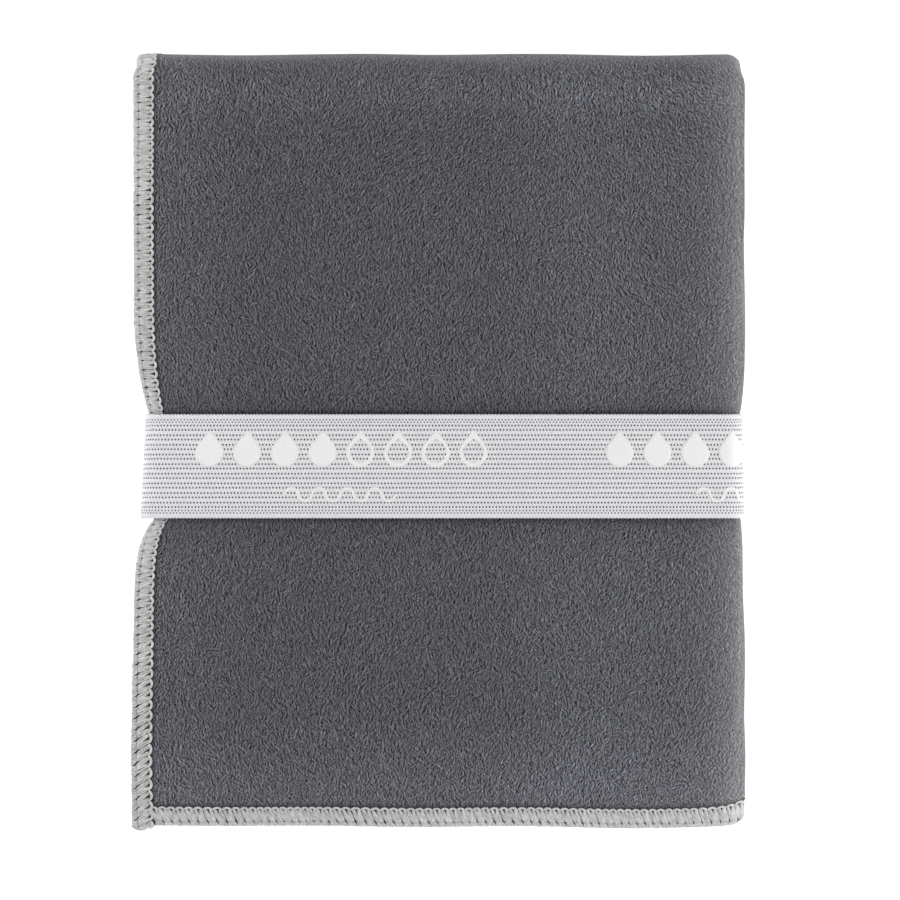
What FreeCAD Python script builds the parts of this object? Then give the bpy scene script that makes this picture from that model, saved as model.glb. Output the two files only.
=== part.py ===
"""Quick dry towel, folded into a flat pack and held by a printed elastic band.

Millimetres, +Z up. The pack lies flat. X runs across it, from the hemmed side edge
at -X to the folded side edge at +X. Y runs along it, from the free hemmed ends at -Y
to the doubled fold at +Y. The origin is on the resting surface, under the middle.

The towel is one cloth. It is folded in half twice across its width, which makes a
strip of four layers, and that strip is folded in half and then in thirds along its
length, which makes six levels of four layers. Levels count from 1 at the bottom.
"""
import FreeCAD, Part
import math
import os

# ---- driving dimensions ----
PACK_WIDTH = 176.7        # over the band
PACK_LENGTH = 225.0
CLOTH_T = 0.8
LAYER_GAP = 0.2           # air between two layers of one level
LEVEL_GAP = 0.3           # air between two levels
BAND_WIDTH = 30.0
BAND_T = 0.9
BAND_GAP = 0.4            # running clearance between the band and the cloth
BAND_Y = -7.0             # middle of the band
BAND_OUTER_R = 1.0
OVERHANG = 8.0            # the two free ends reach this far past the fold at -Y
HINGE_Y = -35.0           # line across which the free part of the top leaf lifts
HINGE_GAP = 0.4
SIDE_FOLD_INSET = 1.5     # the hidden fold at -X lies this far inside the hemmed edges

# ---- overlocked edge: threads wrap a pressed margin of the cloth ----
HEM = 5.0                 # width of the looper threads, from the edge
EDGE_WRAP = 0.4           # thread outside the raw edge
CORE_T = 0.4              # pressed cloth inside the threads
NEEDLE_W = 0.3            # line of needle thread just inside the loopers
NEEDLE_T = 0.1            # depth it sinks into each face

# ---- band seam and printed motif ----
SEAM_HALF = 4.0           # the two bar tacks stand this far from the seam's middle
TACK_W = 0.8
TACK_T = 0.25
TACK_MARGIN = 2.0         # left clear at the two selvedges
PRINT_T = 0.1
MOTIF_X = (-72.0, 46.5)   # left ends of the repeated motif
DROP_PITCH = 10.9
DROP_HEIGHT = 10.8
DROP_W = 8.2
DROPS = 4
RING_STROKE = 1.1
HOLE_HEIGHT = 6.4         # of the opening in an outlined drop
HOLE_DROP = 1.1           # its middle lies this far below the drop's own
DROP_Y = BAND_Y + 4.8
WAVE_Y = BAND_Y - 8.2
WAVE_X = 27.5             # start of the wave line, from the motif's left end
WAVE_LENGTH = 32.0
WAVE_BEND = 2.0           # radius of each half turn of the wave
WAVE_STROKE = 0.9

# ---- worked out from the above ----
LAYERS = 4
LEVELS = 6
PITCH = CLOTH_T + LAYER_GAP
LEVEL_T = LAYERS * CLOTH_T + (LAYERS - 1) * LAYER_GAP
LEVEL_PITCH = LEVEL_T + LEVEL_GAP
HALF_T = CLOTH_T / 2
HALF_CORE = CORE_T / 2
HALF_GROOVE = HALF_T - NEEDLE_T
CLOTH_Z = BAND_T + BAND_GAP
CLOTH_HALF_X = PACK_WIDTH / 2 - BAND_T - BAND_GAP
EDGE_X = -CLOTH_HALF_X                                # hemmed side edge
RIGHT_X = CLOTH_HALF_X - (LAYERS - 1) / 2 * PITCH - HALF_T   # centre of the +X folds
LEFT_X = EDGE_X + SIDE_FOLD_INSET + PITCH / 2 + HALF_T       # centre of the -X fold
END_Y = -PACK_LENGTH / 2                              # free hemmed ends
LOOPER_END = HEM
MARGIN_END = HEM + NEEDLE_W
TOP_Z = CLOTH_Z + LEVELS * LEVEL_T + (LEVELS - 1) * LEVEL_GAP
BACK_Y = PACK_LENGTH / 2 - (TOP_Z - CLOTH_Z) / 2      # centre of the folds at +Y
FRONT_Y = END_Y + OVERHANG + 1.5 * LEVEL_PITCH + LEVEL_T / 2   # centre of those at -Y

X_AXIS = FreeCAD.Vector(1, 0, 0)


def level_z(level):
    """Height of the middle of a level."""
    return CLOTH_Z + LEVEL_T / 2 + (level - 1) * LEVEL_PITCH


# ---------------------------------------------------------------- flat sections
# Sections are drawn in the XZ plane about the middle of a level. "out" is the distance
# from a layer's middle towards the towel's outer face, and turn is 1 where the first
# layer is on top and -1 where the level lies the other way up.

def spot(x, z, turn):
    return FreeCAD.Vector(x, 0, z * turn)


def line(a, b):
    return Part.makeLine(a, b)


def arc(a, middle, b):
    return Part.Arc(a, middle, b).toShape()


def chain(points):
    """Straight edges through the points, leaving out steps of no length."""
    return [line(a, b) for a, b in zip(points, points[1:]) if (b - a).Length > 1e-6]


def layer_offset(layer, out):
    """Height of a face of layer 1 or 2 above the middle of its level."""
    return 1.5 * PITCH + out if layer == 1 else 0.5 * PITCH - out


def spiral(out, start_x, turn):
    """Edges along the four layers, from layer 1 at -X round to layer 2 at -X."""
    z1, z4, z3, z2 = 1.5 * PITCH + out, -1.5 * PITCH - out, -0.5 * PITCH + out, 0.5 * PITCH - out
    p = [spot(x, z, turn) for x, z in (
        (start_x, z1), (RIGHT_X, z1), (RIGHT_X, z4), (LEFT_X, z4),
        (LEFT_X, z3), (RIGHT_X, z3), (RIGHT_X, z2), (start_x, z2))]
    outer = spot(RIGHT_X + 1.5 * PITCH + out, 0, turn)
    left = spot(LEFT_X - 0.5 * PITCH - out, -PITCH, turn)
    inner = spot(RIGHT_X + 0.5 * PITCH - out, 0, turn)
    return [line(p[0], p[1]), arc(p[1], outer, p[2]), line(p[2], p[3]), arc(p[3], left, p[4]),
            line(p[4], p[5]), arc(p[5], inner, p[6]), line(p[6], p[7])]


def face_of(edges):
    return Part.Face(Part.Wire(Part.__sortEdges__(edges)))


def strip_face(low, high, start_x, turn):
    """Section of a strip that follows the layers, between two distances out."""
    ends = [line(spot(start_x, layer_offset(layer, low), turn),
                 spot(start_x, layer_offset(layer, high), turn)) for layer in (1, 2)]
    return face_of(spiral(low, start_x, turn) + spiral(high, start_x, turn) + ends)


def margin_edges(layer, half, turn):
    """Stepped end of the cloth under the threads of a side edge."""
    steps = [(MARGIN_END, half), (MARGIN_END, min(half, HALF_GROOVE)),
             (LOOPER_END, min(half, HALF_GROOVE)), (LOOPER_END, HALF_CORE), (EDGE_WRAP, HALF_CORE)]
    profile = steps + [(depth, -out) for depth, out in reversed(steps)]
    return chain([spot(EDGE_X + depth, layer_offset(layer, out), turn) for depth, out in profile])


def cloth_face(half, turn):
    """Section of the cloth with both of its pressed margins."""
    sides = spiral(half, EDGE_X + MARGIN_END, turn) + spiral(-half, EDGE_X + MARGIN_END, turn)
    return face_of(sides + margin_edges(1, half, turn) + margin_edges(2, half, turn))


def box_face(x0, x1, layer, low, high, turn):
    corners = [(x0, low), (x1, low), (x1, high), (x0, high), (x0, low)]
    return face_of(chain([spot(x, layer_offset(layer, out), turn) for x, out in corners]))


def looper_face(layer, side, turn):
    """L-shaped section of a looper thread: its flat face and its half of the edge wrap."""
    corners = [(0, 0), (0, HALF_T), (HEM, HALF_T), (HEM, HALF_CORE), (EDGE_WRAP, HALF_CORE),
               (EDGE_WRAP, 0), (0, 0)]
    return face_of(chain([spot(EDGE_X + depth, layer_offset(layer, side * out), turn)
                          for depth, out in corners]))


def needle_face(layer, side, turn):
    low, high = sorted((side * HALF_GROOVE, side * HALF_T))
    return box_face(EDGE_X + LOOPER_END, EDGE_X + MARGIN_END, layer, low, high, turn)


# ---------------------------------------------------------------- sweeps
def leaf(face, level, y0, y1):
    """Extrudes a section along one level, from y0 to y1."""
    flat = face.copy()
    flat.translate(FreeCAD.Vector(0, y0, level_z(level)))
    return flat.extrude(FreeCAD.Vector(0, y1 - y0, 0))


def fold(face, level, upper, y, side):
    """Turns a section half a circle from one level up to another, at the +Y or -Y side."""
    bent = face.copy()
    bent.translate(FreeCAD.Vector(0, y, level_z(level)))
    centre = FreeCAD.Vector(0, y, (level_z(level) + level_z(upper)) / 2)
    return bent.revolve(centre, X_AXIS * side, 180)


# level: (name, turn, lower y, upper y) of the part that stays in the pack
LEAVES = {
    6: ("cloth_top_leaf_held", 1, HINGE_Y, BACK_Y),
    5: ("cloth_second_leaf", -1, END_Y, BACK_Y),
    4: ("cloth_third_leaf", 1, FRONT_Y, BACK_Y),
    3: ("cloth_fourth_leaf", -1, FRONT_Y, BACK_Y),
    2: ("cloth_fifth_leaf", 1, FRONT_Y, BACK_Y),
    1: ("cloth_base_leaf", -1, FRONT_Y, BACK_Y),
}
# name, lower level, upper level, y, side
FOLDS = [
    ("cloth_back_fold_outer", 1, 6, BACK_Y, 1),
    ("cloth_back_fold_middle", 2, 5, BACK_Y, 1),
    ("cloth_back_fold_inner", 3, 4, BACK_Y, 1),
    ("cloth_front_fold_outer", 1, 4, FRONT_Y, -1),
    ("cloth_front_fold_inner", 2, 3, FRONT_Y, -1),
]
FREE_LEVEL = 6
SECOND_LEVEL = 5
FREE_Y = HINGE_Y - HINGE_GAP


def joined(solids):
    first, *rest = solids
    return first.fuse(rest).removeSplitter() if rest else first


def cloth_end(level, turn, y1):
    """A free leaf: full cloth, then the groove and the pressed margin at its end."""
    return joined([
        leaf(cloth_face(HALF_T, turn), level, END_Y + MARGIN_END, y1),
        leaf(cloth_face(HALF_GROOVE, turn), level, END_Y + LOOPER_END, END_Y + MARGIN_END),
        leaf(cloth_face(HALF_CORE, turn), level, END_Y + EDGE_WRAP, END_Y + LOOPER_END),
    ])


def cloth_nodes():
    nodes = {}
    for level, (name, turn, y0, y1) in LEAVES.items():
        if y0 == END_Y:
            nodes[name] = cloth_end(level, turn, y1)
        else:
            nodes[name] = leaf(cloth_face(HALF_T, turn), level, y0, y1)
    nodes["cloth_top_leaf_free"] = cloth_end(FREE_LEVEL, 1, FREE_Y)
    for name, low, high, y, side in FOLDS:
        nodes[name] = fold(cloth_face(HALF_T, LEAVES[low][1]), low, high, y, side)
    return nodes


def along_towel(face_for_turn):
    """Sweeps a side edge's section through every held leaf and fold, as one run of thread."""
    runs = [leaf(face_for_turn(turn), level, y0, y1)
            for level, (_, turn, y0, y1) in LEAVES.items()]
    runs += [fold(face_for_turn(LEAVES[low][1]), low, high, y, side)
             for _, low, high, y, side in FOLDS]
    return joined(runs)


def side_hem_nodes():
    """Threads along the towel's two long edges, which lie together at -X."""
    nodes = {}
    for hem, layer in (("first_side_hem", 1), ("second_side_hem", 2)):
        for thread, side in (("upper_looper", 1), ("lower_looper", -1)):
            name = f"{hem}_{thread}"
            nodes[name] = along_towel(lambda turn: looper_face(layer, side, turn))
            nodes[name + "_free"] = leaf(looper_face(layer, side, 1), FREE_LEVEL, END_Y, FREE_Y)
        nodes[f"{hem}_needle_thread"] = Part.makeCompound(
            [along_towel(lambda turn: needle_face(layer, side, turn)) for side in (1, -1)])
        nodes[f"{hem}_needle_thread_free"] = Part.makeCompound(
            [leaf(needle_face(layer, side, 1), FREE_LEVEL, END_Y, FREE_Y) for side in (1, -1)])
    return nodes


def end_hem_nodes():
    """Threads along the towel's two short edges, which follow the four layers round."""
    nodes = {}
    start_x = EDGE_X + MARGIN_END
    for hem, level, turn in (("top_end_hem", FREE_LEVEL, 1), ("second_end_hem", SECOND_LEVEL, -1)):
        for thread, side in (("upper_looper", 1), ("lower_looper", -1)):
            flat = sorted((side * HALF_CORE, side * HALF_T))
            wrap = sorted((0, side * HALF_CORE))
            nodes[f"{hem}_{thread}"] = joined([
                leaf(strip_face(*flat, start_x, turn), level, END_Y, END_Y + HEM),
                leaf(strip_face(*wrap, start_x, turn), level, END_Y, END_Y + EDGE_WRAP)])
        nodes[f"{hem}_needle_thread"] = Part.makeCompound([
            leaf(strip_face(*sorted((side * HALF_GROOVE, side * HALF_T)), start_x, turn),
                 level, END_Y + LOOPER_END, END_Y + MARGIN_END) for side in (1, -1)])
    return nodes


# ---------------------------------------------------------------- band
def rounded_loop(half_x, z0, z1, radius):
    """Rectangle in the XZ plane with round corners."""
    corners = [(half_x, z1), (-half_x, z1), (-half_x, z0), (half_x, z0)]
    inward = [(-1, -1), (1, -1), (1, 1), (-1, 1)]
    start_angles = [0, 90, 180, 270]
    edges, ends = [], []
    for (x, z), (dx, dz), start in zip(corners, inward, start_angles):
        cx, cz = x + dx * radius, z + dz * radius
        a, m, b = (FreeCAD.Vector(cx + radius * math.cos(math.radians(start + turn)), 0,
                                  cz + radius * math.sin(math.radians(start + turn)))
                   for turn in (0, 45, 90))
        edges.append(arc(a, m, b))
        ends.append((a, b))
    for (_, b), (a, _) in zip(ends, ends[1:] + ends[:1]):
        edges.append(line(b, a))
    return face_of(edges)


def tack_boxes():
    """The two rows of stitching that close the band, sunk in its underside."""
    length = BAND_WIDTH - 2 * TACK_MARGIN
    return [Part.makeBox(TACK_W, length, TACK_T,
                         FreeCAD.Vector(x - TACK_W / 2, BAND_Y - length / 2, 0))
            for x in (-SEAM_HALF, SEAM_HALF)]


def band_webbing():
    """Closed loop of webbing: round outside, and square inside to clear the hemmed edges."""
    outer = rounded_loop(PACK_WIDTH / 2, 0, TOP_Z + BAND_GAP + BAND_T, BAND_OUTER_R)
    half_x, low, high = PACK_WIDTH / 2 - BAND_T, BAND_T, TOP_Z + BAND_GAP
    corners = [(-half_x, low), (half_x, low), (half_x, high), (-half_x, high), (-half_x, low)]
    inner = face_of(chain([FreeCAD.Vector(x, 0, z) for x, z in corners]))
    ring = outer.cut(inner).Faces[0]
    ring.translate(FreeCAD.Vector(0, BAND_Y - BAND_WIDTH / 2, 0))
    webbing = ring.extrude(FreeCAD.Vector(0, BAND_WIDTH, 0))
    return webbing.cut(tack_boxes())


def drop_face(x, y, width, height):
    """Water drop standing on a round base, with straight flanks up to its tip."""
    radius = width / 2
    centre = FreeCAD.Vector(x, y - height / 2 + radius, 0)
    tip = FreeCAD.Vector(x, y + height / 2, 0)
    lean = math.acos(radius / (tip - centre).Length)
    reach = [FreeCAD.Vector(side * radius * math.sin(lean), radius * math.cos(lean), 0)
             for side in (-1, 1)]
    left, right = (centre + step for step in reach)
    base = centre - FreeCAD.Vector(0, radius, 0)
    return face_of([arc(left, base, right), line(right, tip), line(tip, left)])


def wave_face(x, y):
    """Line of half turns, alternately up and down."""
    turns = int(WAVE_LENGTH / (2 * WAVE_BEND))
    outer, inner = WAVE_BEND + WAVE_STROKE / 2, WAVE_BEND - WAVE_STROKE / 2
    face = None
    for i in range(turns):
        centre = FreeCAD.Vector(x + (2 * i + 1) * WAVE_BEND, y, 0)
        side = 1 if i % 2 else -1
        ring = Part.Face([Part.Wire(Part.makeCircle(outer, centre)),
                          Part.Wire(Part.makeCircle(inner, centre)).reversed()])
        half = Part.makePlane(2 * outer, outer, centre - FreeCAD.Vector(outer, outer * (side < 0), 0))
        bend = ring.common(half)
        face = bend if face is None else face.fuse(bend)
    return face.removeSplitter()


def band_print():
    """White motif: solid drops, outlined drops and a wave line, clipped at the band's turn."""
    top = TOP_Z + BAND_GAP + BAND_T
    flat_end = PACK_WIDTH / 2 - BAND_OUTER_R
    faces = []
    for left in MOTIF_X:
        for i in range(2 * DROPS):
            x = left + (i + 0.5) * DROP_PITCH
            if x + DROP_W / 2 > flat_end:
                continue
            drop = drop_face(x, DROP_Y, DROP_W, DROP_HEIGHT)
            if i >= DROPS:
                hole = drop_face(x, DROP_Y - HOLE_DROP, DROP_W - 2 * RING_STROKE, HOLE_HEIGHT)
                drop = drop.cut(hole)
            faces.append(drop)
        if left + WAVE_X + WAVE_LENGTH < flat_end:
            faces.append(wave_face(left + WAVE_X, WAVE_Y))
    solids = []
    for face in faces:
        face.translate(FreeCAD.Vector(0, 0, top))
        solids += face.extrude(FreeCAD.Vector(0, 0, PRINT_T)).Solids
    return Part.makeCompound(solids)


def band_nodes():
    return {
        "band_webbing": band_webbing(),
        "band_seam_thread": Part.makeCompound(tack_boxes()),
        "band_print": band_print(),
    }


def main():
    os.makedirs("parts", exist_ok=True)
    nodes = {**cloth_nodes(), **side_hem_nodes(), **end_hem_nodes(), **band_nodes()}
    for name, shape in nodes.items():
        if not shape.isValid() or not shape.Solids:
            raise ValueError(f"{name} is not a valid solid")
        shape.exportStep(f"parts/{name}.step")
        box = shape.BoundBox
        print(f"{name}: {len(shape.Solids)} solids, {shape.Volume:.0f} mm3, "
              f"x {box.XMin:.2f}..{box.XMax:.2f} y {box.YMin:.2f}..{box.YMax:.2f} "
              f"z {box.ZMin:.2f}..{box.ZMax:.2f}")


main()
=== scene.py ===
"""Looks of the quick dry towel: folded microfibre, overlocked edges and a printed elastic band.

Metres, in the frame's axes. The towel is drawn flat, as (u, v, out): u across it from the first
side edge, v along it from the end that lies on top, and out from the middle of the cloth towards
its outer face. fold() takes that to the neatly folded pack of the frame, and settle() relaxes the
pack, so cloth, edge threads and folds all move as one.
"""
import math

import bpy
import numpy as np
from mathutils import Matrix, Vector


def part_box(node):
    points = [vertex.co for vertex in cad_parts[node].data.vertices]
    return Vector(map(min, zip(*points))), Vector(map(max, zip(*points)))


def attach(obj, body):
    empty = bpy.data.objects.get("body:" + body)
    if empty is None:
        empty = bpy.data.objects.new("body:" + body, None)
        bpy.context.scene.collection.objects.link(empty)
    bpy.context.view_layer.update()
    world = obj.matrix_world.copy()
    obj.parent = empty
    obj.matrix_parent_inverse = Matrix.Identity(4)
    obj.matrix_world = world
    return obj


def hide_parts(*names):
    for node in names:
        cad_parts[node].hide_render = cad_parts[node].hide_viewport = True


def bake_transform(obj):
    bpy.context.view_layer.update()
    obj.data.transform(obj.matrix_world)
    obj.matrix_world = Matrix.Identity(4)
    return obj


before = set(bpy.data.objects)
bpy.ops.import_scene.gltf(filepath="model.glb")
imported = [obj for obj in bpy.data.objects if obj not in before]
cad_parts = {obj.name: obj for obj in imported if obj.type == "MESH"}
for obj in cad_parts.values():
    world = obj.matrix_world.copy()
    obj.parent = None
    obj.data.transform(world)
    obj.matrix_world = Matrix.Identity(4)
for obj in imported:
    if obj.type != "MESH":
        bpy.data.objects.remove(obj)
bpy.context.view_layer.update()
MM = 0.001


def low(node):
    return np.array(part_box(node)[0])


def high(node):
    return np.array(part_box(node)[1])


# -------- sizes from the frame
LAYERS = 4  # of cloth in one leaf
CLOTH_T = 0.8 * MM
LEVEL_T = (high("cloth_third_leaf") - low("cloth_third_leaf"))[2]
LAYER = (LEVEL_T - CLOTH_T) / (LAYERS - 1)
LEVEL = (low("cloth_third_leaf") - low("cloth_fourth_leaf"))[2]
CLOTH_LOW = low("cloth_base_leaf")[2]
CLOTH_TOP = high("cloth_top_leaf_held")[2]
LEFT = low("first_side_hem_upper_looper")[0]
RIGHT = high("cloth_top_leaf_held")[0]
FRONT = low("top_end_hem_upper_looper")[1]
BACK = high("cloth_back_fold_outer")[1]
FOLD_X = RIGHT - 1.5 * LAYER - CLOTH_T / 2  # middle of the folds at +X
HIDDEN_X = LEFT + 1.5 * MM + LAYER / 2 + CLOTH_T / 2  # middle of the hidden fold at -X
FOLD_BACK = high("cloth_base_leaf")[1]  # middle of the folds at +Y
FOLD_FRONT = low("cloth_base_leaf")[1]  # middle of the folds at -Y
BAND_Y = (low("band_webbing")[1] + high("band_webbing")[1]) / 2
BAND_HALF = (high("band_webbing")[1] - low("band_webbing")[1]) / 2
# raw edge to needle line, which stops short of the looper's width
HEM = 0.88 * (high("top_end_hem_upper_looper") - low("top_end_hem_upper_looper"))[1]
END_WIDER = 1.23  # the end hems against the side hems
LOW_FRONT = FOLD_FRONT - 1.5 * LEVEL - LEVEL_T / 2  # frontmost reach of the folds at -Y


# -------- folding
class Route:
    """Plane line of straight runs and arcs, followed by its length. It runs on straight past its ends."""

    def __init__(self, start, legs):
        self.legs, self.starts = [], []
        point, heading, run = np.array(start, float), 0.0, 0.0
        for length, turn in legs:
            self.legs.append((run, length, turn / length, point, heading))
            self.starts.append(run)
            point = self._along(length, turn / length, point, heading)[0]
            heading += turn
            run += length
        self.length = run

    @staticmethod
    def _along(d, bend, point, heading):
        """Points and headings at distance d into a leg."""
        d = np.asarray(d, float)
        now = heading + bend * d
        if abs(bend) < 1e-9:
            step = np.stack([d * math.cos(heading), d * math.sin(heading)], -1)
        else:
            step = np.stack([np.sin(now) - math.sin(heading), math.cos(heading) - np.cos(now)], -1) / bend
        return point + step, now

    def leg(self, s):
        return np.clip(np.searchsorted(self.starts, s, side="right") - 1, 0, len(self.legs) - 1)

    def at(self, s):
        points, headings = np.empty(s.shape + (2,)), np.empty(s.shape)
        legs = self.leg(s)
        for k, (start, _, bend, point, heading) in enumerate(self.legs):
            here = legs == k
            points[here], headings[here] = self._along(s[here] - start, bend, point, heading)
        return points, headings


def half_circle(radius, side):
    return math.pi * radius, side * math.pi


INNER_RUN = FOLD_X - HIDDEN_X
ACROSS = Route((LEFT, 1.5 * LAYER), [
    (FOLD_X - LEFT, 0), half_circle(1.5 * LAYER, -1), (INNER_RUN, 0), half_circle(0.5 * LAYER, -1),
    (INNER_RUN, 0), half_circle(0.5 * LAYER, 1), (FOLD_X - LEFT, 0)])

LEAF, LONG_LEAF = FOLD_BACK - FOLD_FRONT, FOLD_BACK - FRONT
ALONG = Route((FRONT, CLOTH_TOP - LEVEL_T / 2), [
    (LONG_LEAF, 0), half_circle(2.5 * LEVEL, -1), (LEAF, 0), half_circle(1.5 * LEVEL, -1), (LEAF, 0),
    half_circle(0.5 * LEVEL, -1), (LEAF, 0), half_circle(0.5 * LEVEL, 1), (LEAF, 0),
    half_circle(1.5 * LEVEL, 1), (LONG_LEAF, 0)])
WIDTH, LENGTH = ACROSS.length, ALONG.length
BACK_AXIS = CLOTH_TOP - LEVEL_T / 2 - 2.5 * LEVEL  # height of the middle of the folds at +Y
FREE_LEGS = (0, len(ALONG.legs) - 1)  # the two leaves with a free end
FIRST_FOLD = (ACROSS.starts[1] + ACROSS.starts[2]) / 2  # middle of the first fold across, from the edge


def fold(u, v, out):
    """Flat towel to neatly folded pack."""
    section, turn = ACROSS.at(u)
    x = section[..., 0] - out * np.sin(turn)
    rise = section[..., 1] + out * np.cos(turn)
    path, heading = ALONG.at(v)
    return x, path[..., 0] - rise * np.sin(heading), path[..., 1] + rise * np.cos(heading)


# -------- settling
def smooth(t):
    t = np.clip(t, 0, 1)
    return t * t * (3 - 2 * t)


def rounding(inside, radius):
    """How far a round edge falls, as a share of its radius, at a distance inside its outline."""
    return 1 - np.sqrt(np.clip(1 - (1 - np.clip(inside / radius, 0, 1)) ** 2, 0, 1))


def ripple(a, b, size, key):
    """Smooth, irregular waves of about -1 to 1 over two coordinates."""
    total = 0
    for k in range(5):
        angle, wave = key * 1.3 + k * 2.4, 2 * math.pi / size * (0.7 + 0.23 * k)
        total = total + np.sin(wave * (a * math.cos(angle) + b * math.sin(angle)) + key * 2.1 + k * k)
    return total / 3


BAND_T = 0.9 * MM
BAND_CORNER = 4.6 * MM  # inner radius where the band turns down the sides
BAND_AIR = 0.12 * MM
BAND_FLOOR = 0.3 * MM  # the band's underside, held up by its lapped seam
BAND_TOP_IN = 24.9 * MM  # underside of the top run, at the pack's edges
BAND_CROWN = 0.6 * MM
BAND_SIDES = {  # outside of the band at its lower and upper edge
    -1: (-86.7 * MM, -85.2 * MM),
    1: (88.5 * MM, 87.9 * MM),
}
PACK_TOP = 28.1 * MM  # relaxed height between the band and the ends
CREASE_X = 41 * MM  # soft crease that the band starts in the top leaf
SIDE_REACH, END_REACH = 14 * MM, 20 * MM  # how far in the shape of a side or an end edge is felt
PULL_REACH = 11 * MM  # the same for the rounded corners at +X
DROOP = 24 * MM  # length of the free front ends that hangs down
REST_GAP = 0.3 * MM  # from the surface to the underside


def band_side(side, y):
    lower, upper = BAND_SIDES[side]
    return lower + (upper - lower) * np.clip((y - BAND_Y) / (2 * BAND_HALF) + 0.5, 0, 1)


def band_room(x, y):
    """Lowest and highest points free for cloth inside the band."""
    inset = np.minimum(x - band_side(-1, y), band_side(1, y) - x) - BAND_T - BAND_AIR
    corner = BAND_CORNER * rounding(np.maximum(inset, 0), BAND_CORNER)
    crown = BAND_CROWN * (1 - (x / RIGHT) ** 2)
    return (BAND_FLOOR + BAND_T + BAND_AIR + corner, BAND_TOP_IN + crown - BAND_AIR - corner)


def drawn_in(y, gap):
    """How far the band draws in the -X and +X edges."""
    side = smooth((y - BAND_Y) / (2 * BAND_HALF) + 0.5)
    fade = np.where(y > BAND_Y, np.exp(-(gap / (12.5 * MM)) ** 1.3), np.exp(-gap / (6.5 * MM)))
    left = (6.2 - 2.2 * side) * fade
    right = (1.1 + 0.2 * side) * np.exp(-gap / (9 * MM))
    return left * MM, right * MM


def free_top(x, y, gap):
    """Height of the relaxed top, away from the band."""
    from_left, from_right = x - LEFT, RIGHT - x
    top = PACK_TOP + 0.3 * MM * ripple(x, y, 80 * MM, 1) + 0.12 * MM * ripple(x, y, 31 * MM, 2)
    top = top - 4.6 * MM * rounding(from_right, 14 * MM) - 2.2 * MM * (1 - smooth(from_right / (60 * MM)))
    top = top - 1.6 * MM * rounding(from_left, 14 * MM) - 1.2 * MM * (1 - smooth(from_left / (48 * MM)))
    top = top - 1.6 * MM * rounding(BACK - y, 9 * MM) - 0.8 * MM * (1 - smooth((BACK - y) / (24 * MM)))
    top = top - 3 * MM * (1 - smooth((y - FRONT) / (40 * MM)))
    top = top + 0.5 * MM * np.exp(-((y - FOLD_BACK) / (8 * MM)) ** 2)
    crease = np.exp(-((x - CREASE_X) / (3.5 * MM)) ** 2) * np.exp(-gap / (13 * MM))
    return top - 0.6 * MM * crease


def settle(x, y, z, free):
    """Neat pack to relaxed pack. free is 1 on the two leaves with a free end."""
    gap = np.maximum(np.abs(y - BAND_Y) - BAND_HALF, 0)
    from_left, from_right = x - LEFT, RIGHT - x
    # sides: drawn in by the band, bulging and uneven away from it
    left_in, right_in = drawn_in(y, gap)
    at_left, at_right = np.exp(-from_left / SIDE_REACH), np.exp(-from_right / SIDE_REACH)
    slack = 1 - np.exp(-gap / SIDE_REACH)
    share = (z - CLOTH_LOW) / (CLOTH_TOP - CLOTH_LOW)
    left_out = (0.9 + 0.7 * smooth((-y - 45 * MM) / (50 * MM)) + 0.15 * ripple(y, 0, 45 * MM, 3)) * MM
    right_out = 1.4 * MM + 0.35 * MM * ripple(y, z, 55 * MM, 4)
    wander = 0.5 * MM * ripple(z * 9, y, 60 * MM, 5) * slack * smooth((1.02 - share) / 0.1)
    x = x + (left_in - left_out + wander) * at_left - (right_in - right_out + wander) * at_right

    # corners: rounded, and the inner layers a little more than the outer fold
    back_in, front_in = BACK - y, y - FRONT
    corner = np.where(free > 0, 2.2 * MM, 5 * MM)
    pulled = 4.3 * MM * rounding(back_in, 9.5 * MM)
    pulled = pulled + corner * rounding(front_in + (1 - free) * (FRONT - LOW_FRONT), corner)
    reach = np.hypot(np.maximum(y - FOLD_BACK, 0), z - BACK_AXIS)
    inner = smooth((2.1 * LEVEL - reach) / (0.2 * LEVEL))
    pulled = pulled + 0.8 * MM * inner * np.exp(-back_in / SIDE_REACH)
    x = x - pulled * np.exp(-from_right / PULL_REACH)
    x = x + 1.4 * MM * rounding(back_in, 6 * MM) * np.exp(-from_left / (5 * MM))

    # ends: wavy, and the top leaf's free corner at +X drawn back
    at_back, at_front = np.exp(-back_in / END_REACH), np.exp(-np.maximum(front_in, 0) / END_REACH)
    y = y + 0.35 * MM * ripple(x, z * 6, 65 * MM, 6) * (at_back + at_front) + 0.3 * MM * at_back
    lifted = free * np.exp(-from_right / (4.5 * MM)) * (0.9 + 2.7 * smooth(front_in / (6 * MM)))
    y = y + (lifted - 0.8 * smooth(x / (60 * MM)) + 0.3) * MM * at_front

    # heights: spread between the underside and the top, and squeezed by the band
    band_low, band_high = band_room(x, y)
    held = 0.62 * np.exp(-(gap / (3 * MM)) ** 1.3) + 0.38 * np.exp(-gap / (15 * MM))
    held_low = np.exp(-(gap / (8 * MM)) ** 1.5)
    bottom = REST_GAP + 1.8 * MM * rounding(from_right, 9 * MM) + 1.4 * MM * rounding(from_left, 8 * MM)
    top = free_top(x, y, gap)
    groove = 1.1 * MM * np.exp(-((np.abs(y - BAND_Y) - BAND_HALF - 0.2 * MM) / (1.1 * MM)) ** 2)
    bottom = bottom + (band_low - bottom) * held_low
    top = top + (band_high - top) * held - groove
    z = bottom + share * (top - bottom)
    over = free * np.maximum(FRONT + DROOP - y, 0) / DROOP
    return x, y + 1.3 * MM * over ** 3, z - 6.6 * MM * over ** 2.1


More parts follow.
